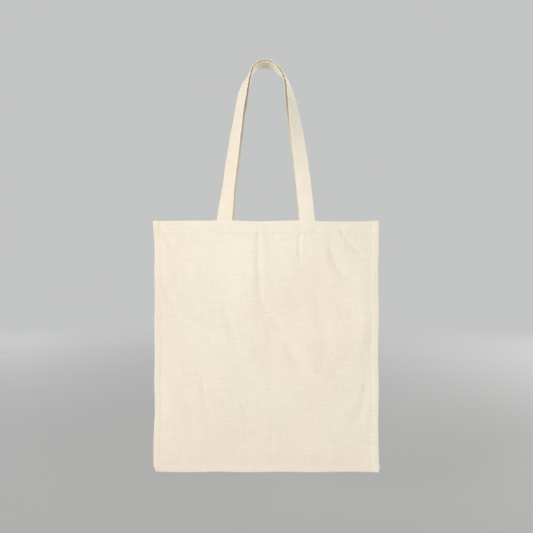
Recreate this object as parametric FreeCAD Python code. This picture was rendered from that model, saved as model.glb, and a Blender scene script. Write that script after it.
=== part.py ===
"""Canvas tote bag, hanging by its two handles.

Units are millimetres and +Z is up. +X runs to the right along the mouth, and the front panel faces -Y.
Heights inside this file are measured from the bottom seam. The exported frame has its origin at the
hanging point, under the middle of the inner handle, so the bag lies below it.
"""

import FreeCAD, Part
import math
import os

from FreeCAD import Vector

# Bag body
BAG_WIDTH = 380.0
BAG_HEIGHT = 424.0
MOUTH_HALF_DEPTH = 14.0
CANVAS = 0.7
EDGE_GAP = 1.0
HEM_DEPTH = 20.0
HEM_THICKNESS = 3 * CANVAS
HEM_EDGE_GAP = 0.25

# Seams, turned to the inside
SEAM_WIDTH = 8.0
SEAM_THICKNESS = 1.2
SEAM_EDGE = 0.3

# Handles
STRAP_WIDTH = 26.0
STRAP_THICKNESS = 2.0
STRAP_SPREAD = 69.3
APEX_HEIGHT = 693.0
NEST_OFFSET = 3.6
CROWN_RADIUS = 27.0
CROWN_ANGLE = 54.0
SHOULDER_RADIUS = 85.0
SHOULDER_ANGLE = 79.0
TWIST_REACH = 86.0
TWIST_POWER = 2.6
STRAP_CLEARANCE = 0.25
LOOP_CLEARANCE = 0.7

# Thread
THREAD = 0.5
THREAD_LIFT = 0.05
HEM_STITCH_INSET = 1.5
BOX_STITCH_WIDTH = 23.0
BOX_STITCH_HEIGHT = 16.0
CROSS_CLEARANCE = 3.0
STRAP_STITCH_INSET = 2.5

HALF_WIDTH = BAG_WIDTH / 2
HEM_BOTTOM = BAG_HEIGHT - HEM_DEPTH
OUTER_APEX = APEX_HEIGHT - STRAP_THICKNESS / 2
INNER_APEX = OUTER_APEX - NEST_OFFSET
HANGING_HEIGHT = INNER_APEX - STRAP_THICKNESS / 2
FRAMES_PER_HALF = 12
FRAMES_PER_FACE = 2

FRONT, BACK = -1, 1
LEFT, RIGHT = -1, 1


def solid_from(faces):
    """One closed solid from faces that share their edges."""
    shell = Part.Shell(faces)
    shell.sewShape()
    solid = Part.Solid(shell)
    if solid.Volume < 0:
        solid.reverse()
    return solid


def save(name, *solids):
    """Moves the origin to the hanging point and writes one node."""
    shape = solids[0] if len(solids) == 1 else Part.makeCompound(list(solids))
    shape = shape.copy()
    shape.translate(Vector(0, 0, -HANGING_HEIGHT))
    shape.exportStep("parts/" + name + ".step")


# ---------------------------------------------------------------- panels


def bulge(x):
    """Share of the mouth's half depth at x: a parabola, nothing at the side seams."""
    return 1 - (x / HALF_WIDTH) ** 2


def bulge_slope(x):
    """How fast a panel's surface comes forward at x along the mouth."""
    return 2 * MOUTH_HALF_DEPTH * x / HALF_WIDTH**2


def cloth_patch(side, offset):
    """The body surface of one panel: a parabola across, and up the bag a parabola that ends upright."""
    patch = Part.BezierSurface()
    patch.increase(2, 2)
    for column, (x, across) in enumerate(((-HALF_WIDTH, 0), (0, 2), (HALF_WIDTH, 0))):
        for row, upwards in enumerate((0, 1, 1)):
            y = side * (offset + MOUTH_HALF_DEPTH * across * upwards)
            patch.setPole(column + 1, row + 1, Vector(x, y, row * HEM_BOTTOM / 2))
    return patch.toShape()


def mouth_curve(side, end_offset, middle_offset, height):
    """A parabola along the mouth, from one side seam to the other."""
    curve = Part.BezierCurve()
    crest = 2 * middle_offset - end_offset
    curve.setPoles(
        [
            Vector(-HALF_WIDTH, side * end_offset, height),
            Vector(0, side * crest, height),
            Vector(HALF_WIDTH, side * end_offset, height),
        ]
    )
    return curve.toShape()


def crescent(inner, outer):
    """The flat face between two curves along the mouth."""
    ends = [
        Part.makeLine(inner.Vertexes[end].Point, outer.Vertexes[end].Point)
        for end in (0, -1)
    ]
    return Part.Face(Part.Wire([inner, ends[1], outer, ends[0]]))


def panel(side):
    """One layer of canvas, with the double-folded hem as a thicker band at the mouth."""
    inner = cloth_patch(side, EDGE_GAP)
    outer = cloth_patch(side, EDGE_GAP + CANVAS)
    rims = [
        Part.makeRuledSurface(inner_edge, outer_edge)
        for inner_edge, outer_edge in zip(inner.Edges, outer.Edges)
    ]
    cloth = solid_from([inner, outer, *rims])

    surface = EDGE_GAP + CANVAS
    hem_outer = mouth_curve(side, surface, surface + MOUTH_HALF_DEPTH, HEM_BOTTOM)
    hem_inner = mouth_curve(
        side, HEM_EDGE_GAP, surface + MOUTH_HALF_DEPTH - HEM_THICKNESS, HEM_BOTTOM
    )
    hem = crescent(hem_inner, hem_outer).extrude(Vector(0, 0, HEM_DEPTH))
    return cloth.fuse(hem).removeSplitter()


def hem_stitching(side):
    """The thread row just above the hem's lower edge, on the outer face."""
    surface = EDGE_GAP + CANVAS + THREAD_LIFT
    height = HEM_BOTTOM + HEM_STITCH_INSET
    lower = mouth_curve(side, surface, surface + MOUTH_HALF_DEPTH, height)
    upper = mouth_curve(
        side, surface + THREAD, surface + THREAD + MOUTH_HALF_DEPTH, height
    )
    return crescent(lower, upper).extrude(Vector(0, 0, THREAD))


def side_seam(hand):
    """The bound edge of one side seam, from the bottom seam up to the hem."""
    start = hand * (HALF_WIDTH - SEAM_EDGE)
    low_x = min(start, start - hand * SEAM_WIDTH)
    low_z = SEAM_WIDTH + 2 * SEAM_EDGE
    height = HEM_BOTTOM - SEAM_EDGE - low_z
    corner = Vector(low_x, -SEAM_THICKNESS / 2, low_z)
    return Part.makeBox(SEAM_WIDTH, SEAM_THICKNESS, height, corner)


def bottom_seam():
    """The bound edge along the bottom."""
    length = BAG_WIDTH - 2 * SEAM_EDGE
    corner = Vector(-length / 2, -SEAM_THICKNESS / 2, SEAM_EDGE)
    return Part.makeBox(length, SEAM_THICKNESS, SEAM_WIDTH, corner)


# ---------------------------------------------------------------- handles


def hem_inner_face(x):
    """Distance of the hem's inner face from the middle of the bag."""
    crest = EDGE_GAP + CANVAS + MOUTH_HALF_DEPTH - HEM_THICKNESS
    return HEM_EDGE_GAP + (crest - HEM_EDGE_GAP) * bulge(x)


STRAP_DEPTH = hem_inner_face(STRAP_SPREAD) - STRAP_CLEARANCE - STRAP_THICKNESS / 2
STRAP_YAW = math.atan(bulge_slope(STRAP_SPREAD))


def half_arch(offset):
    """From the apex to the hem: crown arc, shoulder arc, and a long shallow arc down the leg.

    Gives the length of the half, and a function that turns a length from the apex into the distance
    from the middle, the height and the path's angle below the horizontal.
    """
    crown = CROWN_RADIUS - offset
    shoulder = SHOULDER_RADIUS - offset
    turn_1 = math.radians(CROWN_ANGLE)
    turn_2 = math.radians(SHOULDER_ANGLE)
    x_1 = crown * math.sin(turn_1)
    z_1 = OUTER_APEX - offset - crown * (1 - math.cos(turn_1))
    x_2 = x_1 + shoulder * (math.sin(turn_2) - math.sin(turn_1))
    z_2 = z_1 + shoulder * (math.cos(turn_2) - math.cos(turn_1))
    chord_angle = math.atan2(z_2 - BAG_HEIGHT, STRAP_SPREAD - x_2)
    chord = math.hypot(z_2 - BAG_HEIGHT, STRAP_SPREAD - x_2)
    leg = chord / (2 * math.sin(chord_angle - turn_2))
    length_1 = crown * turn_1
    length_2 = length_1 + shoulder * (turn_2 - turn_1)
    length_3 = length_2 + leg * 2 * (chord_angle - turn_2)

    def point(length):
        if length < length_1:
            x, z, radius, turn, start = 0, OUTER_APEX - offset, crown, 0, 0
        elif length < length_2:
            x, z, radius, turn, start = x_1, z_1, shoulder, turn_1, length_1
        else:
            x, z, radius, turn, start = x_2, z_2, leg, turn_2, length_2
        angle = turn + (length - start) / radius
        x += radius * (math.sin(angle) - math.sin(turn))
        z += radius * (math.cos(angle) - math.cos(turn))
        return x, z, angle

    return length_3, point


def twist(length, half_length, hem_angle):
    """The strap's turn about its own line: flat against the hem, a quarter turn at the apex."""

    def fade(distance):
        return 1 / (1 + (distance / TWIST_REACH) ** TWIST_POWER)

    share = (fade(length) - fade(half_length)) / (1 - fade(half_length))
    return hem_angle + (math.pi / 2 - hem_angle) * share


def strap_frames(side):
    """Centre, width direction and outward normal of the strap, from the left hem to the right one."""
    offset = 0 if side == FRONT else NEST_OFFSET
    half_length, point = half_arch(offset)
    apex_height = OUTER_APEX - offset
    hem_angle = -side * STRAP_YAW
    frames = []
    for step in range(-FRAMES_PER_HALF, FRAMES_PER_HALF + 1):
        hand = 1 if step > 0 else -1
        length = half_length * abs(step) / FRAMES_PER_HALF
        x, z, angle = point(length)
        lean = STRAP_DEPTH / (apex_height - BAG_HEIGHT)
        y = side * lean * (apex_height - z)
        rise = -hand * math.sin(angle)
        along = Vector(math.cos(angle), -side * lean * rise, rise)
        along.normalize()
        outward = Vector(hand * math.sin(angle), 0, math.cos(angle))
        forward = along.cross(outward)
        turn = twist(length, half_length, hem_angle)
        normal = forward * math.cos(turn) + outward * math.sin(turn)
        frames.append((Vector(hand * x, y, z), along.cross(normal), normal))
    return frames


def ribbon(frames, low, high, bottom, top):
    """A flat band along the frames, between two offsets across and two offsets through the strap."""
    rails = []
    for across, through in ((low, bottom), (high, bottom), (high, top), (low, top)):
        curve = Part.BSplineCurve()
        places = [
            centre + width * across + normal * through
            for centre, width, normal in frames
        ]
        curve.interpolate(Points=places, Parameters=list(range(len(places))))
        starts = range(0, len(frames) - 1, FRAMES_PER_FACE)
        rails.append([curve.toShape(start, start + FRAMES_PER_FACE) for start in starts])
    faces = [
        Part.makeRuledSurface(edge, opposite)
        for i in range(4)
        for edge, opposite in zip(rails[i], rails[(i + 1) % 4])
    ]
    for end in (0, -1):
        corners = [rail[end].Vertexes[end].Point for rail in rails]
        faces.append(Part.Face(Part.makePolygon([*corners, corners[0]])))
    return solid_from(faces)


def above_hem(solid):
    """Cuts a band off level, just above the mouth."""
    reach = APEX_HEIGHT
    corner = Vector(-reach, -reach, BAG_HEIGHT + LOOP_CLEARANCE)
    return solid.common(Part.makeBox(2 * reach, 2 * reach, reach, corner)).Solids[0]


def handle(side):
    half = STRAP_THICKNESS / 2
    edge = STRAP_WIDTH / 2
    return above_hem(ribbon(strap_frames(side), -edge, edge, -half, half))


def handle_stitching(side):
    """Two thread rows on the handle's outward face, one near each edge."""
    frames = strap_frames(side)
    bottom = STRAP_THICKNESS / 2 + THREAD_LIFT
    rows = []
    for hand in (LEFT, RIGHT):
        middle = hand * (STRAP_WIDTH / 2 - STRAP_STITCH_INSET)
        row = ribbon(
            frames, middle - THREAD / 2, middle + THREAD / 2, bottom, bottom + THREAD / 2
        )
        rows.append(above_hem(row))
    return rows


def at_hem(solid, side, hand, depth):
    """Turns a piece to lie along the panel, and puts it where one end of a handle is sewn."""
    solid.rotate(Vector(0, 0, 0), Vector(0, 0, 1), -side * hand * math.degrees(STRAP_YAW))
    solid.translate(Vector(hand * STRAP_SPREAD, side * depth, 0))
    return solid


def strap_end(side, hand):
    """The sewn end of a handle, flat inside the hem."""
    corner = Vector(-STRAP_WIDTH / 2, -STRAP_THICKNESS / 2, HEM_BOTTOM)
    end = Part.makeBox(STRAP_WIDTH, STRAP_THICKNESS, HEM_DEPTH, corner)
    return at_hem(end, side, hand, STRAP_DEPTH)


def box_stitch(side, hand):
    """A rectangle of thread and the cross inside it, on the panel's outer face."""
    width, height = BOX_STITCH_WIDTH, BOX_STITCH_HEIGHT
    middle = BAG_HEIGHT - HEM_DEPTH / 2 + HEM_STITCH_INSET / 2
    low = middle - height / 2
    outer = Part.makeBox(width, THREAD, height, Vector(-width / 2, 0, low))
    inner = Part.makeBox(
        width - 2 * THREAD,
        THREAD,
        height - 2 * THREAD,
        Vector(-width / 2 + THREAD, 0, low + THREAD),
    )
    frame = outer.cut(inner)
    reach = math.hypot(width, height) - CROSS_CLEARANCE
    slope = math.degrees(math.atan2(height, width))
    strokes = []
    for way in (-1, 1):
        stroke = Part.makeBox(reach, THREAD, THREAD, Vector(-reach / 2, 0, -THREAD / 2))
        stroke.rotate(Vector(0, 0, 0), Vector(0, 1, 0), way * slope)
        stroke.translate(Vector(0, 0, middle))
        strokes.append(stroke)
    cross = strokes[0].fuse(strokes[1]).removeSplitter()
    surface = EDGE_GAP + CANVAS + MOUTH_HALF_DEPTH * bulge(STRAP_SPREAD)
    depth = surface + 2 * THREAD_LIFT + THREAD / 2
    placed = []
    for piece in (frame, cross.Solids[0]):
        piece.translate(Vector(0, -THREAD / 2, 0))
        placed.append(at_hem(piece, side, hand, depth))
    return placed


os.makedirs("parts", exist_ok=True)
SIDES = {"front": FRONT, "back": BACK}
HANDS = {"left": LEFT, "right": RIGHT}

for side_name, side in SIDES.items():
    save(side_name + "_panel", panel(side))
    save(side_name + "_hem_stitching", hem_stitching(side))
    save(side_name + "_handle", handle(side))
    save(side_name + "_handle_stitching", *handle_stitching(side))
    for hand_name, hand in HANDS.items():
        save(side_name + "_handle_end_" + hand_name, strap_end(side, hand))
        save(side_name + "_box_stitch_" + hand_name, *box_stitch(side, hand))

for hand_name, hand in HANDS.items():
    save(hand_name + "_seam_binding", side_seam(hand))
save("bottom_seam_binding", bottom_seam())
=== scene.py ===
import math

import bpy
import numpy as np
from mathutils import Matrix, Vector


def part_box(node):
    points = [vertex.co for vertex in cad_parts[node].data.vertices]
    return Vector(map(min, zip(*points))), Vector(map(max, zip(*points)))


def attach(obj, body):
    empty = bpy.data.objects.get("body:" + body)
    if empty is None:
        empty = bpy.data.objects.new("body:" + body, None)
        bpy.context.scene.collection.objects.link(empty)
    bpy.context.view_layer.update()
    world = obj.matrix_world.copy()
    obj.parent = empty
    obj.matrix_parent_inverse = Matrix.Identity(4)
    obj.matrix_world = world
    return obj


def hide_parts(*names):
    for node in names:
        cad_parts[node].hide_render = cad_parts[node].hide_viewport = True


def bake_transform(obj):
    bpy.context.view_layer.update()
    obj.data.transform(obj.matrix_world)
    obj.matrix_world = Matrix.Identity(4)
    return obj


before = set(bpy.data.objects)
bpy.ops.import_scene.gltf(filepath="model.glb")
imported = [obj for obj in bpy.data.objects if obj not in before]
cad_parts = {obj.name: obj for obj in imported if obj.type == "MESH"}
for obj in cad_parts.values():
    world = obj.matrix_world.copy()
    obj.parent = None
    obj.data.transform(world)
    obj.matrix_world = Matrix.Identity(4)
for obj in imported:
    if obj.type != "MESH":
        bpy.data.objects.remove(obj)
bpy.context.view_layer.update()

# Sizes of the bag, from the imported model. The rest is in metres too.
PANEL_LOW, PANEL_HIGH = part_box("front_panel")
HALF_WIDTH = (PANEL_HIGH.x - PANEL_LOW.x) / 2
BOTTOM = PANEL_LOW.z
HEIGHT = PANEL_HIGH.z - PANEL_LOW.z
END_LOW, END_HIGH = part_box("back_handle_end_right")
HEM_DEPTH = END_HIGH.z - END_LOW.z
HEM_BOTTOM = HEIGHT - HEM_DEPTH
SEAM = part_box("bottom_seam_binding")[1].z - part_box("bottom_seam_binding")[0].z
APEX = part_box("front_handle")[1].z - BOTTOM

# Canvas
CANVAS = 0.0007
EDGE_OFFSET = 0.00135
MOUTH_HALF_DEPTH = 0.014
SEAM_FOLD = 0.0005
HEM_FOLD = 0.0007
HEM_LIP = 0.004
HEM_STEP = 0.0007
SEAM_RELIEF = 0.0009
STRAP_RELIEF = 0.0004
FOLD_GAIN = 1.6
COLUMN_STEP = 0.00185
FINE_COLUMN_STEP = 0.0009
ROW_STEP = 0.0034
FINE_ROW_STEP = 0.0008

# Handles
STRAP_WIDTH = 0.026
STRAP_THICKNESS = 0.0022
STRAP_SPREAD = (END_LOW.x + END_HIGH.x) / 2
STRAP_DEPTH = (END_LOW.y + END_HIGH.y) / 2
STRAP_YAW = math.atan(2 * MOUTH_HALF_DEPTH * STRAP_SPREAD / HALF_WIDTH**2)
NEST_OFFSET = 0.0035
APEX_TURN = math.radians(98)
STRAP_STEPS = 420
TAIL_STEPS = 14

# Overlock thread round the raw edges of the seams
OVERLOCK_REACH = 0.0048
OVERLOCK_HALF_THICKNESS = 0.00078
OVERLOCK_END = 0.003

# Stage and camera
FLOOR_DROP = 0.16
EYE_DISTANCE = 1.0
EYE_HEIGHT = 0.347
EYE_ASIDE = 0.001
VIEW_WIDTH = 0.902

# Thread
THREAD_RADIUS = 0.00024
STITCH_PITCH = 0.0033
STITCH_GAP = 0.0006
STRAP_STITCH_PITCH = 0.003
STRAP_STITCH_INSET = 0.0025
HEM_STITCH_HEIGHT = HEM_BOTTOM + 0.00175
HEM_STITCH_INSET = 0.0025
BOX_STITCH_PITCH = 0.0028
BOX_STITCH_WIDTH = 0.023
BOX_STITCH_HEIGHT = 0.016
BOX_MIDDLE = HEIGHT - HEM_DEPTH / 2 + 0.00075
BOX_PULL = 0.0006

FRONT, BACK = -1, 1
LEFT, RIGHT = -1, 1


class Leg:
    """One half of the handles' arch: its arcs, how far the twist reaches, and how the leg below hangs.

    Angles are in degrees. The turn is the leg's own twist below the arch, and the inner values say
    how the back handle lies beside the front one there.
    """

    def __init__(self, crown, crown_angle, shoulder, shoulder_angle, reach, power, turn, turn_end,
                 inner_aside, inner_turn):
        self.crown, self.crown_angle = crown, math.radians(crown_angle)
        self.shoulder, self.shoulder_angle = shoulder, math.radians(shoulder_angle)
        self.reach, self.power = reach, power
        self.turn, self.turn_end = math.radians(turn), turn_end
        self.inner_aside, self.inner_turn = inner_aside, math.radians(inner_turn)


LEGS = {
    LEFT: Leg(
        crown=0.030, crown_angle=64, shoulder=0.170, shoulder_angle=81, reach=0.070, power=2.25,
        turn=28, turn_end=0.055, inner_aside=0.0, inner_turn=7,
    ),
    RIGHT: Leg(
        crown=0.028, crown_angle=40, shoulder=0.065, shoulder_angle=80, reach=0.095, power=2.0,
        turn=6, turn_end=0.130, inner_aside=0.0025, inner_turn=-8,
    ),
}


def smooth(low, high, value):
    """0 below low, 1 above high, and a smooth ramp between them."""
    share = np.clip((np.asarray(value, float) - low) / (high - low), 0, 1)
    return share * share * (3 - 2 * share)


def bump_at(value, middle, width):
    return np.exp(-(((value - middle) / width) ** 2))


# ---------------------------------------------------------------- mesh helpers


def grid_faces(rows, columns, start=0, closed=False):
    """Quads of a grid whose vertices are stored row by row."""
    across = columns if closed else columns - 1
    first = start + np.arange(rows - 1)[:, None] * columns + np.arange(across)
    beside = start + np.arange(rows - 1)[:, None] * columns + (np.arange(across) + 1) % columns
    quads = np.stack([first, beside, beside + columns, first + columns], axis=-1)
    return quads.reshape(-1, 4)


def new_piece(name, vertices, faces, material, uv=None, normals=None):
    """A mesh object. uv holds one pair per vertex, in metres along the cloth."""
    mesh = bpy.data.meshes.new(name)
    mesh.from_pydata([tuple(v) for v in vertices], [], [tuple(int(i) for i in f) for f in faces])
    mesh.polygons.foreach_set("use_smooth", [True] * len(mesh.polygons))
    if uv is not None:
        corners = np.empty(len(mesh.loops), np.int32)
        mesh.loops.foreach_get("vertex_index", corners)
        layer = mesh.uv_layers.new(name="cloth")
        layer.data.foreach_set("uv", np.asarray(uv, np.float32)[corners].ravel())
    mesh.update()
    if normals is not None:
        mesh.normals_split_custom_set_from_vertices([tuple(n) for n in normals])
    mesh.materials.append(material)
    piece = bpy.data.objects.new(name, mesh)
    bpy.context.scene.collection.objects.link(piece)
    return piece


def unit(vectors):
    return vectors / np.maximum(np.linalg.norm(vectors, axis=-1, keepdims=True), 1e-12)


def grid_normals(points):
    return unit(np.cross(np.gradient(points, axis=1), np.gradient(points, axis=0)))


def sheet_mesh(name, points, normals, uv, thickness, material):
    """A closed sheet of cloth round a grid of points at the middle of its thickness."""
    rows, columns = points.shape[:2]
    count = rows * columns
    outer = (points + normals * thickness / 2).reshape(-1, 3)
    inner = (points - normals * thickness / 2).reshape(-1, 3)
    front = grid_faces(rows, columns)
    back = grid_faces(rows, columns, count)[:, ::-1]
    index = np.arange(count).reshape(rows, columns)
    rim = np.concatenate([index[0], index[1:, -1], index[-1, -2::-1], index[-2:0:-1, 0]])
    after = np.roll(rim, -1)
    edges = np.stack([after, rim, rim + count, after + count], axis=-1)
    flat_normals = normals.reshape(-1, 3)
    return new_piece(
        name,
        np.concatenate([outer, inner]),
        np.concatenate([front, back, edges]),
        material,
        np.concatenate([uv.reshape(-1, 2)] * 2),
        np.concatenate([flat_normals, -flat_normals]),
    )


def stitches(name, starts, ends, lifts, material, radius=THREAD_RADIUS):
    """One short bowed capsule of thread for each pair of points; lifts point away from the cloth."""
    starts, ends, lifts = (np.asarray(a, float) for a in (starts, ends, lifts))
    along = unit(ends - starts)
    aside = unit(np.cross(along, lifts))
    lifts = np.cross(aside, along)
    rings, sides = 7, 8
    turns = np.arange(sides) * 2 * math.pi / sides
    vertices = []
    for ring in range(rings):
        share = ring / (rings - 1)
        swell = math.sin(math.pi * min(max(share, 0.04), 0.96)) ** 0.35
        bow = radius * (1.1 * math.sin(math.pi * share) - 0.5)
        middle = starts + (ends - starts) * share + lifts * bow
        circle = (
            aside[:, None] * np.cos(turns)[None, :, None]
            + lifts[:, None] * np.sin(turns)[None, :, None]
        )
        vertices.append(middle[:, None] + circle * radius * swell)
    vertices = np.stack(vertices, axis=1).reshape(-1, 3)
    per_stitch = rings * sides
    body = grid_faces(rings, sides, closed=True)
    caps = [list(range(sides))[::-1], list(range(per_stitch - sides, per_stitch))]
    faces = []
    for stitch in range(len(starts)):
        shift = stitch * per_stitch
        faces += (body + shift).tolist()
        faces += [[i + shift for i in cap] for cap in caps]
    return new_piece(name, vertices, faces, material)


def run_of_stitches(length, pitch, gap=STITCH_GAP):
    """Start and end of each stitch along a run."""
    count = max(1, round(length / pitch))
    step = length / count
    starts = np.arange(count) * step + gap / 2
    return starts, starts + step - gap


# ---------------------------------------------------------------- materials


class Graph:
    """A short way to write a material's nodes."""

    def __init__(self, name):
        self.material = bpy.data.materials.new(name)
        self.material.use_nodes = True
        self.tree = self.material.node_tree
        self.shader = self.tree.nodes["Principled BSDF"]

    def node(self, kind, **values):
        node = self.tree.nodes.new("ShaderNode" + kind)
        for key, value in values.items():
            setattr(node, key, value)
        return node

    def put(self, socket, value):
        if isinstance(value, bpy.types.NodeSocket):
            self.tree.links.new(value, socket)
        else:
            socket.default_value = value

    def math(self, operation, a, b=0.0, c=0.0):
        node = self.node("Math", operation=operation)
        for socket, value in zip(node.inputs, (a, b, c)):
            self.put(socket, value)
        return node.outputs[0]

    def mix(self, share, a, b):
        node = self.node("Mix", data_type="RGBA")
        for name, value in (("Factor", share), ("A", a), ("B", b)):
            socket = [s for s in node.inputs if s.name == name and s.type in ("VALUE", "RGBA")]
            socket = [s for s in socket if (s.type == "VALUE") == (name == "Factor")][0]
            self.put(socket, value)
        return [s for s in node.outputs if s.type == "RGBA"][0]

    def noise(self, vector, detail=2.0, roughness=0.5, dimensions="2D"):
        node = self.node("TexNoise", noise_dimensions=dimensions)
        self.put(node.inputs["Vector"], vector)
        node.inputs["Scale"].default_value = 1.0
        node.inputs["Detail"].default_value = detail
        node.inputs["Roughness"].default_value = roughness
        return node.outputs["Fac"]

    def scaled(self, vector, x, y, shift=(0, 0)):
        """The cloth's coordinates, divided by a length across and a length along."""
        node = self.node("Mapping")
        self.put(node.inputs["Vector"], vector)
        node.inputs["Scale"].default_value = (1 / x, 1 / y, 1)
        node.inputs["Location"].default_value = (*shift, 0)
        return node.outputs[0]

    def ramp(self, value, low, high):
        node = self.node("MapRange", interpolation_type="SMOOTHSTEP", clamp=True)
        self.put(node.inputs["Value"], value)
        node.inputs["From Min"].default_value = low
        node.inputs["From Max"].default_value = high
        return node.outputs["Result"]


def canvas_material(name, colour, shade, shift, relief_strength=0.8):
    """Unbleached plain-weave canvas: threads over and under, slubs both ways, flecks of seed husk, and
    painted shade in the valleys between the threads.
    """
    g = Graph(name)
    warp_pitch, weft_pitch = 0.00068, 0.00082
    uv = g.node("UVMap", uv_map="cloth").outputs[0]
    wander = g.noise(g.scaled(uv, 0.006, 0.006, shift), 2.0)
    split = g.node("SeparateXYZ")
    g.put(split.inputs[0], uv)
    u = g.math("MULTIPLY_ADD", wander, warp_pitch * 1.6, split.outputs[0])
    v = g.math("MULTIPLY_ADD", wander, weft_pitch * 1.6, split.outputs[1])
    warp_wave = g.math("SINE", g.math("MULTIPLY", u, math.pi / warp_pitch))
    weft_wave = g.math("SINE", g.math("MULTIPLY", v, math.pi / weft_pitch))
    over = g.ramp(g.math("MULTIPLY", warp_wave, weft_wave), -0.25, 0.25)
    warp_round = g.math("ABSOLUTE", warp_wave)
    weft_round = g.math("ABSOLUTE", weft_wave)
    weave = g.math(
        "ADD",
        g.math("MULTIPLY", warp_round, over),
        g.math("MULTIPLY", weft_round, g.math("SUBTRACT", 1.0, over)),
    )

    warp_slub = g.noise(g.scaled(uv, 0.0011, 0.026, shift), 3.0, 0.65)
    weft_slub = g.noise(g.scaled(uv, 0.026, 0.0013, (shift[1], shift[0])), 3.0, 0.65)
    coarse_warp = g.noise(g.scaled(uv, 0.0036, 0.05, shift), 1.0)
    coarse_weft = g.noise(g.scaled(uv, 0.05, 0.004, shift), 1.0)
    slubs = g.math("ADD", g.ramp(warp_slub, 0.2, 0.8), g.ramp(weft_slub, 0.2, 0.8))
    coarse = g.math("ADD", g.ramp(coarse_warp, 0.25, 0.75), g.ramp(coarse_weft, 0.25, 0.75))
    cloud = g.noise(g.scaled(uv, 0.11, 0.15, shift), 2.0)

    tone = g.math("MULTIPLY", slubs, 0.20)
    tone = g.math("MULTIPLY_ADD", coarse, 0.09, tone)
    # Painted shade: the valleys between the weave's threads are drawn towards the shade colour.
    tone = g.math("MULTIPLY_ADD", weave, 0.30, tone)
    tone = g.math("MULTIPLY_ADD", cloud, 0.34, tone)
    patch = g.noise(g.scaled(uv, 0.16, 0.2, (shift[1], shift[0])), 2.0)
    low_left = g.math("SUBTRACT", 0.42, g.math("ADD", split.outputs[0], split.outputs[1]))
    blush = g.ramp(g.math("MULTIPLY_ADD", low_left, 0.8, patch), 0.35, 0.70)
    rosy = (colour[0], colour[1] * 0.965, colour[2] * 0.955, 1)
    cloth = g.mix(tone, shade, g.mix(blush, colour, rosy))

    cells = g.node("TexVoronoi", voronoi_dimensions="2D", feature="F1")
    g.put(cells.inputs["Vector"], g.scaled(uv, 0.009, 0.014, shift))
    cells.inputs["Scale"].default_value = 1.0
    pick = g.node("SeparateColor")
    g.put(pick.inputs[0], cells.outputs["Color"])
    rare = g.ramp(pick.outputs[0], 0.82, 0.96)
    reach = g.math("MULTIPLY_ADD", pick.outputs[1], 0.035, 0.012)
    wobbly = g.math("MULTIPLY_ADD", wander, 0.03, cells.outputs["Distance"])
    speck = g.math("SUBTRACT", 1.0, g.ramp(g.math("DIVIDE", wobbly, reach), 0.7, 1.6))
    fleck = g.math("MULTIPLY", g.math("MULTIPLY", rare, speck), 0.7)
    husk = (0.33, 0.21, 0.11, 1)
    g.put(g.shader.inputs["Base Color"], g.mix(fleck, cloth, husk))

    rough = g.math("MULTIPLY_ADD", weave, -0.08, 0.95)
    g.put(g.shader.inputs["Roughness"], g.math("MULTIPLY_ADD", slubs, -0.03, rough))
    g.shader.inputs["Specular IOR Level"].default_value = 0.25
    g.shader.inputs["Sheen Weight"].default_value = 0.25
    g.shader.inputs["Sheen Roughness"].default_value = 0.45
    g.shader.inputs["Sheen Tint"].default_value = (1.0, 0.95, 0.86, 1)

    relief = g.math("MULTIPLY_ADD", slubs, 0.55, weave)
    relief = g.math("MULTIPLY_ADD", coarse, 0.5, relief)
    bump = g.node("Bump")
    bump.inputs["Strength"].default_value = relief_strength
    bump.inputs["Distance"].default_value = 0.00025
    g.put(bump.inputs["Height"], relief)
    g.put(g.shader.inputs["Normal"], bump.outputs[0])
    return g.material


def thread_material(name, colour):
    """Plied cotton-wrapped thread, a little glossier than the canvas, with painted shade in the
    grooves of its twist.
    """
    g = Graph(name)
    where = g.node("TexCoord").outputs["Object"]
    twist = g.node("TexWave", wave_type="BANDS", bands_direction="DIAGONAL")
    g.put(twist.inputs["Vector"], where)
    twist.inputs["Scale"].default_value = 900
    twist.inputs["Distortion"].default_value = 1.5
    tone = g.noise(g.scaled(where, 0.01, 0.01), 2.0, dimensions="3D")
    # Painted shade: the grooves of the twist, together with darker tone at random along the thread,
    # are drawn towards a darker copy of the thread's colour.
    dark_tone_and_groove_shade = tuple(c * 0.82 for c in colour[:3]) + (1,)
    share = g.math("MULTIPLY_ADD", twist.outputs["Fac"], 0.6, g.math("MULTIPLY", tone, 0.5))
    g.put(g.shader.inputs["Base Color"], g.mix(share, dark_tone_and_groove_shade, colour))
    g.put(g.shader.inputs["Roughness"], g.math("MULTIPLY_ADD", tone, 0.2, 0.55))
    g.shader.inputs["Sheen Weight"].default_value = 0.15
    bump = g.node("Bump")
    bump.inputs["Strength"].default_value = 0.4
    bump.inputs["Distance"].default_value = 0.00008
    g.put(bump.inputs["Height"], twist.outputs["Fac"])
    g.put(g.shader.inputs["Normal"], bump.outputs[0])
    return g.material


CANVAS_LIGHT = (0.90, 0.835, 0.70, 1)
# The darker end of the canvas's tone: darker threads at random, and painted shade in the valleys of
# the weave.
CANVAS_SHADE = (0.72, 0.64, 0.505, 1)
panel_canvas = canvas_material("panel_canvas", CANVAS_LIGHT, CANVAS_SHADE, (3.1, 7.7))
back_canvas = canvas_material("back_canvas", CANVAS_LIGHT, CANVAS_SHADE, (13.4, 2.9))
# The handles' canvas is the panels' canvas, a touch redder and painted 5 to 8 % darker as painted
# shade for the extra light that the handles' turned faces catch.
shaded_strap_canvas = canvas_material(
    "shaded_strap_canvas", (0.835, 0.768, 0.643, 1), (0.68, 0.605, 0.478, 1), (21.5, 5.2), 0.45
)
thread = thread_material("thread", (0.97, 0.91, 0.79, 1))
binding_thread = thread_material("binding_thread", (0.88, 0.80, 0.66, 1))


# ---------------------------------------------------------------- the body's cloth

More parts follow.
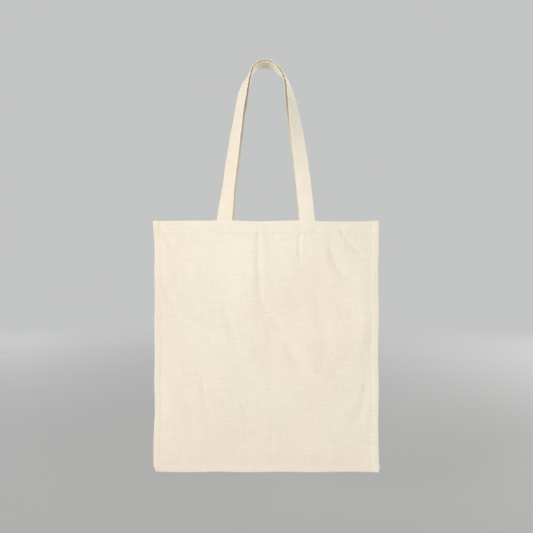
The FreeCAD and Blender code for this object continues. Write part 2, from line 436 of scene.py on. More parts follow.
# Soft folds of each panel: three points of a curve (across from the middle, height), then the fold's
# half width at its start and at its end, and how far the cloth stands in.
FRONT_FOLDS = (
    ((-0.012, 0.406), (-0.0145, 0.350), (-0.008, 0.296), 0.0035, 0.0065, 0.0010),
    ((-0.005, 0.284), (0.009, 0.270), (0.027, 0.243), 0.0060, 0.0085, 0.0011),
    ((0.035, 0.216), (0.046, 0.200), (0.058, 0.175), 0.0065, 0.0095, 0.0012),
    ((-0.170, 0.404), (-0.160, 0.372), (-0.139, 0.345), 0.0050, 0.0085, 0.0014),
    ((-0.181, 0.331), (-0.172, 0.295), (-0.149, 0.268), 0.0055, 0.0090, 0.0016),
    ((-0.138, 0.260), (-0.105, 0.246), (-0.061, 0.219), 0.0080, 0.0120, 0.0010),
    ((-0.068, 0.276), (-0.060, 0.245), (-0.044, 0.208), 0.0060, 0.0090, 0.0010),
    ((0.128, 0.406), (0.142, 0.384), (0.170, 0.364), 0.0045, 0.0075, 0.0012),
    ((0.107, 0.380), (0.114, 0.352), (0.134, 0.331), 0.0050, 0.0090, 0.0012),
    ((0.0565, 0.408), (0.0555, 0.380), (0.0575, 0.362), 0.0022, 0.0042, 0.0006),
    ((0.170, 0.148), (0.167, 0.118), (0.152, 0.086), 0.0060, 0.0090, 0.0007),
    ((-0.038, 0.110), (-0.028, 0.092), (-0.012, 0.076), 0.0055, 0.0085, 0.0010),
    ((-0.108, 0.150), (-0.105, 0.130), (-0.098, 0.106), 0.0045, 0.0075, 0.0009),
    ((-0.130, 0.190), (-0.092, 0.150), (-0.060, 0.092), 0.0120, 0.0160, 0.0008),
    ((0.085, 0.300), (0.102, 0.262), (0.098, 0.205), 0.0090, 0.0130, 0.0009),
)
BACK_FOLDS = (
    ((0.068, 0.404), (0.050, 0.350), (0.018, 0.276), 0.0050, 0.0110, 0.0015),
    ((0.022, 0.290), (-0.010, 0.230), (-0.056, 0.168), 0.0090, 0.0140, 0.0015),
    ((-0.080, 0.406), (-0.092, 0.372), (-0.122, 0.334), 0.0045, 0.0085, 0.0012),
    ((0.158, 0.372), (0.150, 0.310), (0.128, 0.252), 0.0070, 0.0110, 0.0014),
    ((-0.158, 0.200), (-0.146, 0.140), (-0.112, 0.086), 0.0080, 0.0120, 0.0013),
    ((0.060, 0.150), (0.034, 0.120), (0.020, 0.076), 0.0080, 0.0120, 0.0011),
)
FOLDS = {FRONT: FRONT_FOLDS, BACK: BACK_FOLDS}


def fold_depth(x, h, start, bend, end, start_width, end_width, depth):
    """A soft valley along a curve, dying out at both ends, with a low shoulder on each side."""
    share = np.linspace(0, 1, 25)
    weights = ((1 - share) ** 2, 2 * share * (1 - share), share**2)
    path = sum(w[:, None] * np.array(p) for w, p in zip(weights, (start, bend, end)))
    line = unit(np.gradient(path, axis=0))
    best = np.full(np.broadcast(x, h).shape, np.inf)
    across, along = np.zeros_like(best), np.zeros_like(best)
    for spot, way, at in zip(path, line, share):
        dx, dh = x - spot[0], h - spot[1]
        distance = np.hypot(dx, dh)
        nearer = distance < best
        best = np.where(nearer, distance, best)
        across = np.where(nearer, dx * way[1] - dh * way[0], across)
        ahead = (dx * way[0] + dh * way[1]) / np.hypot(*(path[-1] - path[0]))
        along = np.where(nearer, at + ahead, along)
    width = start_width + (end_width - start_width) * np.clip(along, 0, 1)
    fade = smooth(-0.35, 0.25, along) * smooth(1.4, 0.7, along)
    valley = np.exp(-((across / width) ** 2))
    shoulder = np.exp(-(((np.abs(across) - 2.1 * width) / (1.2 * width)) ** 2))
    return depth * fade * (valley - 0.4 * shoulder)


def waves(x, h, seed, count, shortest, longest):
    """A sum of long soft waves in seeded directions, about 1 high."""
    random = np.random.default_rng(seed)
    total = np.zeros(np.broadcast(x, h).shape)
    for _ in range(count):
        length = random.uniform(shortest, longest)
        turn = random.uniform(0, math.pi)
        phase = random.uniform(0, 2 * math.pi)
        total = total + np.sin(
            (x * math.cos(turn) + h * math.sin(turn)) * 2 * math.pi / length + phase
        )
    return total / math.sqrt(count)


def slack(x, h, side):
    """Long wandering wrinkles of cloth that hangs without being stretched, about 1 high."""
    bend_x = x + 0.016 * waves(x, h, 71 + side, 4, 0.12, 0.26)
    bend_h = h + 0.016 * waves(x, h, 81 + side, 4, 0.12, 0.26)
    random = np.random.default_rng(91 + side)
    total = 0
    for _ in range(6):
        length = random.uniform(0.035, 0.085)
        turn = math.radians(random.uniform(-32, 32)) + math.radians(14)
        phase = random.uniform(0, 2 * math.pi)
        where = (bend_x * math.cos(turn) + bend_h * math.sin(turn)) * 2 * math.pi / length + phase
        gate = smooth(-0.6, 1.2, waves(x, h, random.integers(1000), 3, 0.1, 0.25))
        total = total + gate * np.sin(where) * length / 0.06
    return total / 2


def ripples(place, seed, count, shortest, longest):
    """Short uneven ripples along a row of stitching, about 1 high."""
    random = np.random.default_rng(seed)
    total = np.zeros(np.shape(place))
    for _ in range(count):
        length = random.uniform(shortest, longest)
        total = total + np.sin(place * 2 * math.pi / length + random.uniform(0, 2 * math.pi))
    swell = 0.55 + 0.45 * np.sin(place * 2 * math.pi / 0.071 + random.uniform(0, 2 * math.pi))
    return swell * total / math.sqrt(count)


def puckers(x, h, side):
    """What the seams, the hem and the handles' boxed ends draw into the cloth beside them."""
    to_side = HALF_WIDTH - np.abs(x)
    hand = np.where(x < 0, 0, 1)
    flat_x, flat_h = x + 0 * h, h + 0 * x
    down = np.where(h < HEM_STITCH_HEIGHT, 0.017, 0.007)
    at_hem = np.exp(-(((h - HEM_STITCH_HEIGHT) / down) ** 2)) * (0.7 + 0.5 * smooth(0.08, 0.13, x))
    total = 0.00030 * at_hem * ripples(flat_x + 0.1 * (h - HEM_BOTTOM), 40 + side, 7, 0.006, 0.019)
    for which in (0, 1):
        along = ripples(flat_h, 50 + which + side, 7, 0.006, 0.018)
        total = total + 0.00016 * (hand == which) * np.exp(-(((to_side - 0.006) / 0.009) ** 2)) * along
    along = ripples(flat_x, 60 + side, 7, 0.006, 0.018)
    total = total + 0.00016 * np.exp(-(((h - 0.006) / 0.009) ** 2)) * along
    across, above = np.abs(x) - STRAP_SPREAD, h - (HEIGHT - HEM_DEPTH / 2)
    turn = np.arctan2(above, across * np.sign(x))
    beyond = np.maximum(np.abs(across) / 0.0125, np.abs(above) / 0.0095)
    ring = np.exp(-(((beyond - 1.35) / 0.45) ** 2)) * (beyond > 1)
    return total + 0.00042 * ring * np.sin(turn * 9 + 2 * np.sin(3 * turn + side))


def strap_mask(x, h):
    """1 where a handle is sewn to the hem, 0 away from it."""
    beside = smooth(0.020, 0.0145, np.abs(np.abs(x) - STRAP_SPREAD))
    return beside * smooth(HEM_BOTTOM - 0.006, HEM_BOTTOM, h)


def strap_relief(x, h):
    """The sewn end of a handle, felt through the hem."""
    beside = smooth(0.0148, 0.0128, np.abs(np.abs(x) - STRAP_SPREAD))
    return beside * smooth(HEM_BOTTOM - 0.0012, HEM_BOTTOM + 0.0006, h)


def box_pull(x, h):
    """1 along the boxed X that sews a handle to the hem, where the thread draws the cloth in."""
    across = np.abs(np.abs(x) - STRAP_SPREAD)
    above = np.abs(h - BOX_MIDDLE)
    w, tall = BOX_STITCH_WIDTH / 2, BOX_STITCH_HEIGHT / 2
    to_line = np.minimum(np.abs(across - w), np.abs(above - tall))
    to_cross = np.abs(across * tall - above * w) / math.hypot(w, tall)
    beyond = np.maximum(across - w, above - tall)
    near = np.minimum(to_line, to_cross)
    return np.exp(-((near / 0.0009) ** 2)) * smooth(0.0016, 0.0004, beyond)


def cloth_offset(x, h, side):
    """Distance from the bag's middle plane to the middle of the outer layer's thickness."""
    u = np.clip(x / HALF_WIDTH, -1, 1)
    v = np.clip(h / HEM_BOTTOM, 0, 1)
    lens = MOUTH_HALF_DEPTH * (1 - u * u) * (2 * v - v * v)
    to_side = HALF_WIDTH - np.abs(x)
    to_edge = np.minimum(to_side, h)
    free = smooth(0.002, 0.03, to_side) * smooth(0.002, 0.03, h)
    sewn = strap_mask(x, h)
    soft = 0.0006 * waves(x, h, 11 + side, 7, 0.09, 0.2)
    soft = soft + 0.00042 * slack(x, h, side)
    for fold in FOLDS[side]:
        soft = soft - FOLD_GAIN * fold_depth(x, h, *fold)
    below_hem = smooth(HEIGHT - 0.002, HEM_BOTTOM - 0.01, h)
    offset = EDGE_OFFSET + lens + free * (1 - sewn) * soft * (0.35 + 0.65 * below_hem)
    offset = offset + puckers(x, h, side) * (1 - sewn) * smooth(0, 0.002, to_side)

    offset = offset + HEM_STEP * smooth(HEM_STITCH_HEIGHT - 0.003, HEM_STITCH_HEIGHT - 0.0006, h)
    offset = offset + STRAP_RELIEF * strap_relief(x, h)
    ridge = smooth(SEAM + 0.0030, SEAM - 0.0006, to_edge)
    offset = offset - SEAM_RELIEF * (1 - ridge) * smooth(SEAM + 0.022, SEAM, to_edge)
    in_hem = smooth(HEM_BOTTOM - 0.007, HEM_BOTTOM + 0.002, h)
    side_layers = smooth(SEAM + 0.0015, SEAM - 0.001, to_side)
    offset = offset + 0.0009 * side_layers * in_hem
    offset = offset + 0.0008 * side_layers * smooth(SEAM + 0.0015, SEAM - 0.001, h)

    stitch_line = bump_at(h, HEM_STITCH_HEIGHT, 0.0007)
    holes = 0.5 + 0.5 * np.cos(x * 2 * math.pi / STITCH_PITCH)
    offset = offset - (0.00012 + 0.0001 * holes) * stitch_line
    return offset - BOX_PULL * box_pull(x, h)


def drift(x, h):
    """How far the cloth lies off its exact rectangle: wavy edges, a worn corner, a mouth that sags."""
    u, v = x / HALF_WIDTH, h / HEIGHT
    left, right = smooth(-0.3, -1, u), smooth(0.3, 1, u)
    low, high = smooth(0.25, 0, v), smooth(0.6, 1, v)
    aside = 0.0021 * left * smooth(1.0, 0.86, v) * smooth(0.04, 0.25, v)
    aside = aside + left * 0.0004 * np.sin(h * 2 * math.pi / 0.093 + 0.6)
    aside = aside + right * 0.0005 * np.sin(h * 2 * math.pi / 0.128 + 1.0)
    corner = smooth(0.012, 0.0, h) * smooth(-0.93, -1, u)
    aside = aside + 0.0034 * corner
    aside = aside + 0.0016 * bump_at(h, 0.0095, 0.006) * smooth(0.955, 1, u)
    raised = -0.0013 * high * bump_at(x, -0.010, 0.035)
    raised = raised - 0.0013 * high * smooth(0.045, 0.095, x) * smooth(0.188, 0.142, x)
    raised = raised - 0.0006 * high * (1 - u * u)
    raised = raised + 0.0004 * low * np.sin(x * 2 * math.pi / 0.11)
    raised = raised + 0.0012 * smooth(0.012, 0.0, h) * smooth(-0.95, -1, u)
    return aside, raised * (1 - 0.7 * strap_mask(x, h))


def cloth_points(x, h, side, inwards=0.0):
    """Places on the middle of the cloth, or the given distance in from it."""
    x, h = np.broadcast_arrays(np.asarray(x, float), np.asarray(h, float))
    aside, raised = drift(x, h)
    y = side * (cloth_offset(x, h, side) - inwards)
    return np.stack([x + aside, y, BOTTOM + h + raised], axis=-1)


def cloth_normals(x, h, side):
    step = 0.0004
    across = cloth_points(x + step, h, side) - cloth_points(x - step, h, side)
    upwards = cloth_points(x, h + step, side) - cloth_points(x, h - step, side)
    normals = unit(np.cross(across, upwards))
    return normals if side == FRONT else -normals


def spread(start, end, step):
    return np.linspace(start, end, max(2, round(abs(end - start) / step) + 1))


def fold_over(place, radius, way, steps=6):
    """A half turn of the cloth at an edge: places and inward distances."""
    turn = np.linspace(0, math.pi, steps + 2)[1:-1]
    return place + way * radius * np.sin(turn), radius * (1 - np.cos(turn))


def profile(pieces):
    """Joins runs of (places, inward distances) and adds the length along them."""
    places = np.concatenate([np.asarray(p, float) for p, _ in pieces])
    inwards = np.concatenate([np.broadcast_to(i, np.shape(p)).astype(float) for p, i in pieces])
    steps = np.hypot(np.diff(places), np.diff(inwards))
    return places, inwards, np.concatenate([[0], np.cumsum(steps)])


def across_profile():
    """From the left seam's raw edge, round the left fold, across the panel and round the right one."""
    edge = HALF_WIDTH - SEAM_FOLD
    allowance = spread(edge, HALF_WIDTH - SEAM, 0.0018)
    turn, depth = fold_over(edge, SEAM_FOLD, 1)
    outer, inner = STRAP_SPREAD + 0.0145, STRAP_SPREAD - 0.0145
    half = np.concatenate(
        [
            spread(edge, outer, COLUMN_STEP)[:-1],
            spread(outer, inner, FINE_COLUMN_STEP)[:-1],
            spread(inner, 0, COLUMN_STEP),
        ]
    )
    return profile(
        [
            (-allowance[::-1], 2 * SEAM_FOLD),
            (-turn[::-1], depth[::-1]),
            (-half, 0),
            (half[-2::-1], 0),
            (turn, depth),
            (allowance, 2 * SEAM_FOLD),
        ]
    )


def upward_profile():
    """From the bottom seam's raw edge, round its fold, up the panel, over the hem and under it."""
    low = SEAM_FOLD
    allowance = spread(SEAM, low, 0.0018)
    turn, depth = fold_over(low, SEAM_FOLD, -1)
    fine_low, fine_high = HEM_STITCH_HEIGHT - 0.006, HEM_STITCH_HEIGHT + 0.004
    top = HEIGHT - HEM_FOLD
    over, over_depth = fold_over(top, HEM_FOLD, 1)
    lip = CANVAS / 2
    under, under_depth = fold_over(HEM_BOTTOM + lip, lip, -1)
    return profile(
        [
            (allowance, 2 * SEAM_FOLD),
            (turn[::-1], depth[::-1]),
            (spread(low, fine_low, ROW_STEP)[:-1], 0),
            (spread(fine_low, fine_high, FINE_ROW_STEP)[:-1], 0),
            (spread(fine_high, top, FINE_ROW_STEP), 0),
            (over, over_depth),
            (spread(top, HEM_BOTTOM + lip, 0.0018), 2 * HEM_FOLD),
            (under, 2 * HEM_FOLD - under_depth),
            (spread(HEM_BOTTOM + lip, HEM_BOTTOM + HEM_LIP, 0.0012), 2 * HEM_FOLD - 2 * lip),
        ]
    )


def panel_grid(side):
    x, x_in, x_length = across_profile()
    h, h_in, h_length = upward_profile()
    points = cloth_points(x[None, :], h[:, None], side, x_in[None, :] + h_in[:, None])
    normals = grid_normals(points)
    uv = np.stack(np.broadcast_arrays(x_length[None, :], h_length[:, None]), axis=-1)
    return points, normals, uv, int(np.argmin(np.abs(x) + 1e3 * (x_in > 0)))


def make_front_cloth():
    """The front panel in two halves, split at its middle."""
    points, normals, uv, middle = panel_grid(FRONT)
    halves = {"left": slice(0, middle + 1), "right": slice(middle, None)}
    for hand, part in halves.items():
        piece = sheet_mesh(
            "front_cloth_" + hand, points[:, part], normals[:, part], uv[:, part], CANVAS, panel_canvas
        )
        bend_with_front(piece)
        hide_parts("front_panel")


def bend_with_front(piece):
    """Bakes a piece of the front panel's placing into its mesh."""
    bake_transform(piece)


def make_back_cloth():
    points, normals, uv, _ = panel_grid(BACK)
    points, normals, uv = points[:, ::-1], normals[:, ::-1], uv[:, ::-1]
    piece = sheet_mesh("back_cloth", points, -normals, uv, CANVAS, back_canvas)
    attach(piece, "back_side")
    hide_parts("back_panel")


def hem_row(side, low_x, high_x):
    """The hem's stitches between two places, on the outer face and on the inner one."""
    starts, ends = run_of_stitches(high_x - low_x, STITCH_PITCH)
    sets = []
    for face, inwards in ((1, 0.0), (-1, 2 * HEM_FOLD)):
        lift = face * (CANVAS / 2 + THREAD_RADIUS * 0.9)
        ends_of = []
        for places in (starts, ends):
            x = low_x + places
            h = np.full_like(x, HEM_STITCH_HEIGHT)
            normals = cloth_normals(x, h, side)
            ends_of.append(cloth_points(x, h, side, inwards) + normals * lift)
        sets.append((*ends_of, normals * face))
    return [np.concatenate(rows) for rows in zip(*sets)]


def make_hem_stitching():
    end = HALF_WIDTH - HEM_STITCH_INSET
    for hand, low_x, high_x in (("left", -end, 0), ("right", 0, end)):
        piece = stitches("front_hem_stitches_" + hand, *hem_row(FRONT, low_x, high_x), thread)
        bend_with_front(piece)
        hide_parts("front_hem_stitching")
    rows = hem_row(BACK, -end, end)
    piece = stitches("back_hem_stitches", *rows, thread)
    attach(piece, "back_side")
    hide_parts("back_hem_stitching")


def tube(name, path, radius, material, sides=8):
    """A thin thread along a path, as a mesh."""
    path = np.asarray(path, float)
    along = unit(np.gradient(path, axis=0))
    lift = np.zeros_like(path)
    guide = np.array([0.0, 1.0, 0.0]) if abs(along[0] @ [0, 1, 0]) < 0.9 else np.array([1.0, 0, 0])
    for i, t in enumerate(along):
        guide = guide - (guide @ t) * t
        guide = guide / np.linalg.norm(guide)
        lift[i] = guide
    aside = np.cross(along, lift)
    turns = np.arange(sides) * 2 * math.pi / sides
    rings = (
        path[:, None]
        + radius * np.cos(turns)[None, :, None] * lift[:, None]
        + radius * np.sin(turns)[None, :, None] * aside[:, None]
    )
    count = len(path) * sides
    faces = grid_faces(len(path), sides, closed=True).tolist()
    faces += [list(range(sides))[::-1], list(range(count - sides, count))]
    return new_piece(name, rings.reshape(-1, 3), faces, material)


def overlock_path(length, reach, half_thickness, pitch=0.0026):
    """Loops of thread round a raw edge: (along, in from the edge, through) in a run of that length."""
    loops = int(length / pitch)
    turns = []
    for loop in range(loops):
        start = loop * pitch
        turns += [
            (start, reach, -half_thickness),
            (start + 0.30 * pitch, 0.4 * reach, -half_thickness * 1.08),
            (start + 0.42 * pitch, -0.0003, -half_thickness * 0.6),
            (start + 0.50 * pitch, -0.0005, 0.0),
            (start + 0.58 * pitch, -0.0003, half_thickness * 0.6),
            (start + 0.70 * pitch, 0.4 * reach, half_thickness * 1.08),
            (start + 0.97 * pitch, reach, half_thickness),
        ]
    return np.array(turns)


def make_seam_binding():
    """Thread looped over the raw edges inside the two side seams and the bottom seam."""
    reach, half_thickness = OVERLOCK_REACH, OVERLOCK_HALF_THICKNESS
    start, end = SEAM + 0.002, HEM_BOTTOM - 0.0015
    loops = overlock_path(end - start, reach, half_thickness)
    for hand, way in (("left", -1), ("right", 1)):
        x = way * (HALF_WIDTH - SEAM + loops[:, 1])
        h = start + loops[:, 0]
        aside, raised = drift(x, h)
        path = np.stack([x + aside, loops[:, 2], BOTTOM + h + raised], axis=-1)
        piece = tube(hand + "_seam_overlock", path, THREAD_RADIUS * 0.8, binding_thread)
        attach(piece, "back_side")
        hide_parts(hand + "_seam_binding")
    loops = overlock_path(2 * (HALF_WIDTH - OVERLOCK_END), reach, half_thickness)
    x = loops[:, 0] - HALF_WIDTH + OVERLOCK_END
    h = SEAM - loops[:, 1]
    aside, raised = drift(x, h)
    path = np.stack([x + aside, loops[:, 2], BOTTOM + h + raised], axis=-1)
    piece = tube("bottom_seam_overlock", path, THREAD_RADIUS * 0.8, binding_thread)
    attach(piece, "back_side")
    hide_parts("bottom_seam_binding")


# ---------------------------------------------------------------- handles


def half_arch(leg, offset):
    """Half of a handle's line from its apex: crown arc, shoulder arc, and the long leg's arc."""
    crown, shoulder = leg.crown - offset, leg.shoulder - offset
    turn_1, turn_2 = leg.crown_angle, leg.shoulder_angle
    top = APEX - STRAP_THICKNESS / 2 - offset
    x_1 = crown * math.sin(turn_1)
    h_1 = top - crown * (1 - math.cos(turn_1))
    x_2 = x_1 + shoulder * (math.sin(turn_2) - math.sin(turn_1))
    h_2 = h_1 + shoulder * (math.cos(turn_2) - math.cos(turn_1))
    chord_angle = math.atan2(h_2 - HEIGHT, STRAP_SPREAD - x_2)
    chord = math.hypot(h_2 - HEIGHT, STRAP_SPREAD - x_2)
    long_radius = chord / (2 * math.sin(chord_angle - turn_2))
    length_1 = crown * turn_1
    length_2 = length_1 + shoulder * (turn_2 - turn_1)
    length_3 = length_2 + long_radius * 2 * (chord_angle - turn_2)
    arcs = (
        (0.0, 0.0, top, crown, 0.0),
        (length_1, x_1, h_1, shoulder, turn_1),
        (length_2, x_2, h_2, long_radius, turn_2),
    )

    def point(length):
        start, x, h, radius, turn = [arc for arc in arcs if arc[0] <= length + 1e-9][-1]
        angle = turn + (length - start) / radius
        x = x + radius * (math.sin(angle) - math.sin(turn))
        h = h + radius * (math.cos(angle) - math.cos(turn))
        return x, h

    return length_3, point


def twist(leg, side, length, half_length):
    """The strap's turn about its own line: flat against the hem, a quarter turn at the apex."""

    def fade(distance):
        return 1 / (1 + (distance / leg.reach) ** leg.power)

    hem_angle = -side * STRAP_YAW
    share = (fade(length) - fade(half_length)) / (1 - fade(half_length))
    on_leg = smooth(0.05, 0.12, length)
    turn = hem_angle + (APEX_TURN - hem_angle) * share
    turn = turn + leg.turn * on_leg * smooth(half_length, half_length - leg.turn_end, length)
    if side == BACK:
        turn = turn + leg.inner_turn * on_leg * smooth(half_length, half_length - 0.08, length)
    return turn


def strap_frames(side):
    """Centre, width direction, outward normal and length along, from the left hem to the right one."""
    offset = 0 if side == FRONT else NEST_OFFSET
    top = APEX - STRAP_THICKNESS / 2 - offset
    lean = STRAP_DEPTH / (top - HEIGHT)
    centres, turns = [], []
    for hand in (LEFT, RIGHT):
        leg = LEGS[hand]
        half_length, point = half_arch(leg, offset)
        half = []
        for step in range(STRAP_STEPS // 2 + 1):
            length = half_length * step / (STRAP_STEPS // 2)
            x, h = point(length)
            if side == BACK:
                hidden = smooth(0.06, 0.16, length) * smooth(half_length, half_length - 0.08, length)
                x = x + leg.inner_aside * hidden
            place = (hand * x, side * lean * (top - h), h)
            half.append((place, twist(leg, side, length, half_length)))
        for step in range(1, TAIL_STEPS + 1):
            h = HEIGHT - (HEM_DEPTH - 0.0004) * step / TAIL_STEPS
            half.append(((hand * STRAP_SPREAD, side * STRAP_DEPTH, h), -side * STRAP_YAW))
        half = half[::-1] if hand == LEFT else half[1:]
        centres += [place for place, _ in half]
        turns += [turn for _, turn in half]
    centres, turns = np.array(centres), np.array(turns, float)
    near = np.abs(centres[1:-1, 2] - HEIGHT) < 0.016
    for _ in range(14):
        middle = (centres[:-2] + centres[2:]) / 2
        centres[1:-1][near] = 0.5 * centres[1:-1][near] + 0.5 * middle[near]
    for _ in range(30):
        turns[1:-1] = 0.5 * turns[1:-1] + 0.25 * (turns[:-2] + turns[2:])
    along = unit(np.gradient(centres, axis=0))
    outward = unit(np.stack([-along[:, 2], np.zeros(len(along)), along[:, 0]], axis=-1))
    outward = unit(outward - along * np.sum(outward * along, axis=-1, keepdims=True))
    forward = np.cross(along, outward)
    normals = forward * np.cos(turns)[:, None] + outward * np.sin(turns)[:, None]
    widths = np.cross(along, normals)
    steps = np.linalg.norm(np.diff(centres, axis=0), axis=-1)
    centres[:, 2] += BOTTOM
    return centres, widths, normals, np.concatenate([[0], np.cumsum(steps)])


def strap_section():
    """Round the folded strap's section: places across and through, and the length round it."""
    half, thick = STRAP_WIDTH / 2, STRAP_THICKNESS / 2
    across = half * np.sin(np.linspace(-math.pi / 2, math.pi / 2, 37))
    share = np.abs(across) / half
    through = thick * np.sqrt(np.clip(1 - share**16, 0, 1))
    rows = bump_at(np.abs(across), half - STRAP_STITCH_INSET, 0.0008)
    crown = 0.08 * (1 - share**2) * thick
    top = through * (1 - 0.2 * rows) + crown * (share < 0.999)
    lip = np.array([[half - 0.0003, 0.0]])
    upper = np.stack([across, top], axis=-1)[1:-1]
    lower = np.stack([across, -top], axis=-1)[1:-1][::-1]
    left = np.array([[-half, 0.0]])
    right = np.array([[half - 0.00012, thick * 0.45], *lip, [half - 0.00012, -thick * 0.45]])
    return np.concatenate([left, upper, right, lower])


def make_strap(side, name):
    centres, widths, normals, lengths = strap_frames(side)
    section = strap_section()
    wobble = 0.00022 * np.sin(lengths * 2 * math.pi / 0.047 + side) + 0.00016 * np.sin(
        lengths * 2 * math.pi / 0.019 + 2.1 * side
    )
    inside_loop = smooth(0.03, 0.06, lengths) * smooth(0.03, 0.06, lengths[-1] - lengths)
    edge_wave = 0.00009 * np.sin(lengths * 2 * math.pi / 0.017 + side)
    flare = 1 + 0.006 * np.sin(lengths * 2 * math.pi / 0.083 + 0.7 * side)
    shares = section[:, 0] / (STRAP_WIDTH / 2)
    lift = inside_loop[:, None] * (wobble[:, None] + edge_wave[:, None] * shares[None, :] ** 3)
    points = (
        centres[:, None]
        + widths[:, None] * (section[None, :, 0] * flare[:, None])[..., None]
        + normals[:, None] * (section[None, :, 1] + lift)[..., None]
    )
    rows, columns = points.shape[:2]
    faces = grid_faces(rows, columns, closed=True).tolist()
    first, last = list(range(columns)), list(range((rows - 1) * columns, rows * columns))
    faces = [f[::-1] for f in faces] + [first, last[::-1]]
    round_it = np.concatenate(
        [[0], np.cumsum(np.linalg.norm(np.diff(section, axis=0), axis=-1))]
    )
    uv = np.stack(np.broadcast_arrays(round_it[None, :], lengths[:, None]), axis=-1)
    piece = new_piece(name + "_strap", points.reshape(-1, 3), faces, shaded_strap_canvas, uv.reshape(-1, 2))
    bend_at_hem(piece)
    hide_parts(name + "_handle", name + "_handle_end_left", name + "_handle_end_right")

    rows_of = []
    count_starts, count_ends = run_of_stitches(
        lengths[-1] - 2 * HEM_DEPTH - 0.002, STRAP_STITCH_PITCH
    )
    shift = HEM_DEPTH + 0.001
    for face in (1, -1):
        for edge in (-1, 1):
            across = edge * (STRAP_WIDTH / 2 - STRAP_STITCH_INSET)
            through = face * (STRAP_THICKNESS / 2 * 0.84 + THREAD_RADIUS * 0.1)
            ends_of = []
            for places in (count_starts, count_ends):
                at = places + shift
                frame_of = [
                    np.stack([np.interp(at, lengths, a[:, i]) for i in range(3)], axis=-1)
                    for a in (centres, widths, normals)
                ]
                stretch = np.interp(at, lengths, flare)[:, None]
                raised = np.interp(at, lengths, inside_loop * wobble)[:, None]
                place = frame_of[0] + frame_of[1] * across * stretch
                ends_of.append(place + frame_of[2] * (through + raised))
            rows_of.append((*ends_of, frame_of[2] * face))
    starts, ends, lifts = (np.concatenate(r) for r in zip(*rows_of))
    piece = stitches(name + "_strap_stitches", starts, ends, lifts, thread)
    bend_at_hem(piece)
    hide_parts(name + "_handle_stitching")


def bend_at_hem(piece):
    """Bakes a handle piece's placing into its mesh."""
    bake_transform(piece)


def box_runs():
    """The lines of a boxed X: corners of the box, then the two diagonals."""
    w, h = BOX_STITCH_WIDTH / 2, BOX_STITCH_HEIGHT / 2
    corners = [(-w, -h), (w, -h), (w, h), (-w, h)]
    runs = [(corners[i], corners[(i + 1) % 4]) for i in range(4)]
    return runs + [(corners[0], corners[2]), (corners[3], corners[1])]


def make_box_stitches(side, name, body):
    for hand, way in (("left", -1), ("right", 1)):
        sets = []
        for run_start, run_end in box_runs():
            run_start, run_end = np.array(run_start), np.array(run_end)
            length = np.linalg.norm(run_end - run_start)
            starts, ends = run_of_stitches(length, BOX_STITCH_PITCH)
            for face in (1, -1):
                ends_of = []
                for places in (starts, ends):
                    spots = run_start + (run_end - run_start) * (places / length)[:, None]
                    x = way * STRAP_SPREAD + spots[:, 0]
                    h = BOX_MIDDLE + spots[:, 1]
                    normals = cloth_normals(x, h, side)
                    if face == 1:
                        place = cloth_points(x, h, side) + normals * (CANVAS / 2 + 0.0001)
                    else:
                        place = cloth_points(x, h, side)
                        slant = side * way * math.tan(STRAP_YAW) * spots[:, 0]
                        inner = STRAP_DEPTH - STRAP_THICKNESS * 0.58
                        place[:, 1] = side * inner - slant
                    ends_of.append(place)
                sets.append((*ends_of, normals * face))
        starts, ends, lifts = (np.concatenate(r) for r in zip(*sets))
        piece = stitches(f"{name}_box_stitches_{hand}", starts, ends, lifts, thread)
        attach(piece, body)
        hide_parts(f"{name}_box_stitch_{hand}")


make_front_cloth()
make_back_cloth()
make_hem_stitching()
make_seam_binding()
make_strap(FRONT, "front")
make_strap(BACK, "back")
make_box_stitches(FRONT, "front", "front_side")
make_box_stitches(BACK, "back", "back_side")


# ---------------------------------------------------------------- stage, light and camera


def floor_material():
    """Pale matt floor that fades out far from the bag, so that it has no visible end."""
    g = Graph("floor")
    where = g.node("TexCoord").outputs["Object"]
    cloud = g.noise(g.scaled(where, 0.6, 0.6), 3.0, dimensions="3D")
    g.put(g.shader.inputs["Base Color"], g.mix(cloud, (0.43, 0.43, 0.425, 1), (0.455, 0.455, 0.45, 1)))
    g.shader.inputs["Roughness"].default_value = 0.8
    g.shader.inputs["Specular IOR Level"].default_value = 0.2
    distance = g.node("VectorMath", operation="LENGTH")
    g.put(distance.inputs[0], where)
    fade = g.node("MixShader")
    g.put(fade.inputs[0], g.ramp(distance.outputs["Value"], 0.9, 4.4))
    g.put(fade.inputs[1], g.shader.outputs[0])
    g.put(fade.inputs[2], g.node("BsdfTransparent").outputs[0])
    output = [n for n in g.tree.nodes if n.type == "OUTPUT_MATERIAL"][0]
    g.put(output.inputs["Surface"], fade.outputs[0])
    return g.material


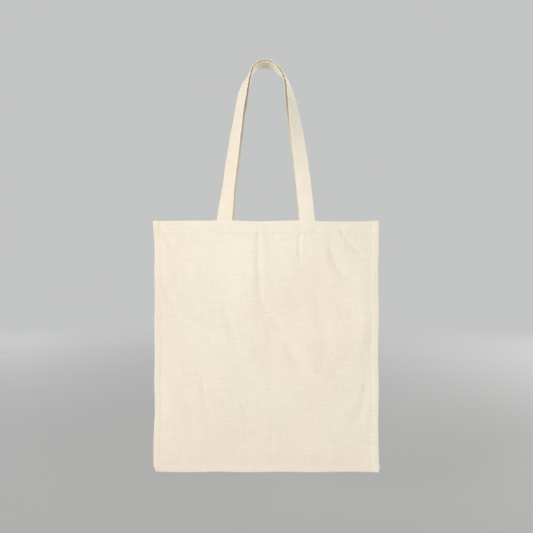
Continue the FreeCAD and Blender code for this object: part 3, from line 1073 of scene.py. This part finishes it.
def make_stage():
    """A wide round floor below the bag."""
    radius = np.array([0.01, 1.0, 2.0, 3.0, 4.0, 5.0])
    around = np.arange(96) * 2 * math.pi / 96
    points = np.stack(
        [
            radius[:, None] * np.cos(around),
            radius[:, None] * np.sin(around),
            np.zeros((len(radius), len(around))),
        ],
        axis=-1,
    )
    faces = grid_faces(len(radius), len(around), closed=True).tolist()
    faces.append(list(range(len(around)))[::-1])
    floor = new_piece("floor", points.reshape(-1, 3), faces, floor_material())
    floor.location.z = BOTTOM - FLOOR_DROP


def area_light(name, place, size, power, colour=(1, 1, 1)):
    """A soft panel of light that faces the middle of the bag."""
    light = bpy.data.lights.new(name, "AREA")
    light.shape = "RECTANGLE"
    light.size, light.size_y = size
    light.energy = power
    light.color = colour
    lamp = bpy.data.objects.new(name, light)
    lamp.location = place
    aim = Vector((0, 0, BOTTOM + HEIGHT * 0.6)) - Vector(place)
    lamp.rotation_euler = aim.to_track_quat("-Z", "Y").to_euler()
    lamp.visible_camera = False
    bpy.context.scene.collection.objects.link(lamp)


def make_light():
    area_light("key", (-3.4, -3.6, 0.3), (1.6, 1.6), 136, (1.0, 0.99, 0.98))
    area_light("front", (0.3, -3.6, -0.8), (2.0, 2.0), 21)
    area_light("fill", (2.6, -3.4, -0.9), (2.2, 2.2), 70, (0.98, 0.99, 1.0))
    area_light("top", (0, 0.2, 2.4), (2.4, 2.4), 12)
    area_light("back_key", (3.4, 3.6, 0.3), (1.6, 1.6), 136, (1.0, 0.99, 0.98))
    area_light("back_fill", (-2.6, 3.4, -0.9), (2.2, 2.2), 80, (0.98, 0.99, 1.0))
    world = bpy.data.worlds.new("studio")
    world.use_nodes = True
    world.node_tree.nodes["Background"].inputs["Color"].default_value = (0.99, 1.0, 1.0, 1)
    world.node_tree.nodes["Background"].inputs["Strength"].default_value = 0.555
    bpy.context.scene.world = world
    bpy.context.scene.view_settings.view_transform = "Standard"


def make_camera():
    """Level with the middle of the bag and its handles, square to the front panel."""
    camera = bpy.data.cameras.new("camera")
    camera.sensor_width = 36
    camera.lens = camera.sensor_width * EYE_DISTANCE / VIEW_WIDTH
    camera.clip_start, camera.clip_end = 0.05, 30
    eye = bpy.data.objects.new("camera", camera)
    eye.location = (EYE_ASIDE, -EYE_DISTANCE, BOTTOM + EYE_HEIGHT)
    eye.rotation_euler = (math.radians(90), 0, 0)
    bpy.context.scene.collection.objects.link(eye)
    bpy.context.scene.camera = eye


make_stage()
make_light()
make_camera()
